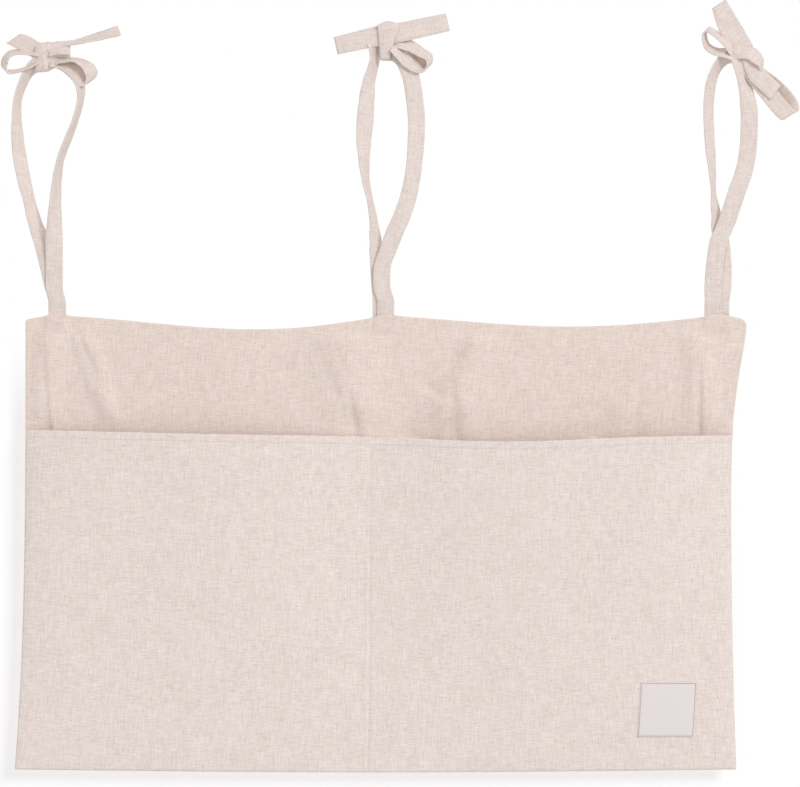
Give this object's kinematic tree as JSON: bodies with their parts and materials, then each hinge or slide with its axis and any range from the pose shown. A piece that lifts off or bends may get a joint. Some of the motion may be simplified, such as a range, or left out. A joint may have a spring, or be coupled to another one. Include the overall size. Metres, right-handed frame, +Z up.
{
  "type": "playpen organizer",
  "caption": "Flat fabric wall organizer: a cloth panel with two wide open-topped pockets, hung by paired tie tapes knotted in bows over a playpen rail.",
  "frame": {"origin": "underside of the middle knot, where the middle tie loop rests on its rail", "axes": "+Z up as it hangs, -Y towards the viewer and out of the pockets' front, +X to the viewer's right"},
  "size_m": [0.5556, 0.0204, 0.5344],
  "materials": {
    "linen": "oatmeal linen and cotton weave, matte",
    "tape": "the same linen folded and sewn into tape",
    "label": "white woven satin ribbon, bare",
    "thread": "beige sewing thread"
  },
  "bodies": {
    "tie_middle": {"tie_middle_front_tape": "tape", "tie_middle_rear_tape": "tape"},
    "panel": {"facing_cloth": "linen", "back_cloth": "linen", "pocket_cloth": "linen", "label": "label", "hem_stitching": "thread", "centre_stitching": "thread", "label_stitching": "thread"},
    "tie_left": {"tie_left_front_tape": "tape", "tie_left_rear_tape": "tape"},
    "tie_right": {"tie_right_front_tape": "tape", "tie_right_rear_tape": "tape"}
  },
  "joints": [
    {"name": "panel_swing", "type": "hinge", "parent": "tie_middle", "child": "panel", "pos_m": [0, 0, -0.1773], "axis": [1, 0, 0], "range_deg": [-90, 90]},
    {"name": "tie_left_swing", "type": "hinge", "parent": "panel", "child": "tie_left", "pos_m": [-0.228, 0, -0.1773], "axis": [1, 0, 0], "range_deg": [-90, 90]},
    {"name": "tie_right_swing", "type": "hinge", "parent": "panel", "child": "tie_right", "pos_m": [0.228, 0, -0.1773], "axis": [1, 0, 0], "range_deg": [-90, 90]}
  ],
  "couplings": [
    {"joint": "tie_left_swing", "follows": "panel_swing", "ratio": -1},
    {"joint": "tie_right_swing", "follows": "panel_swing", "ratio": -1}
  ]
}
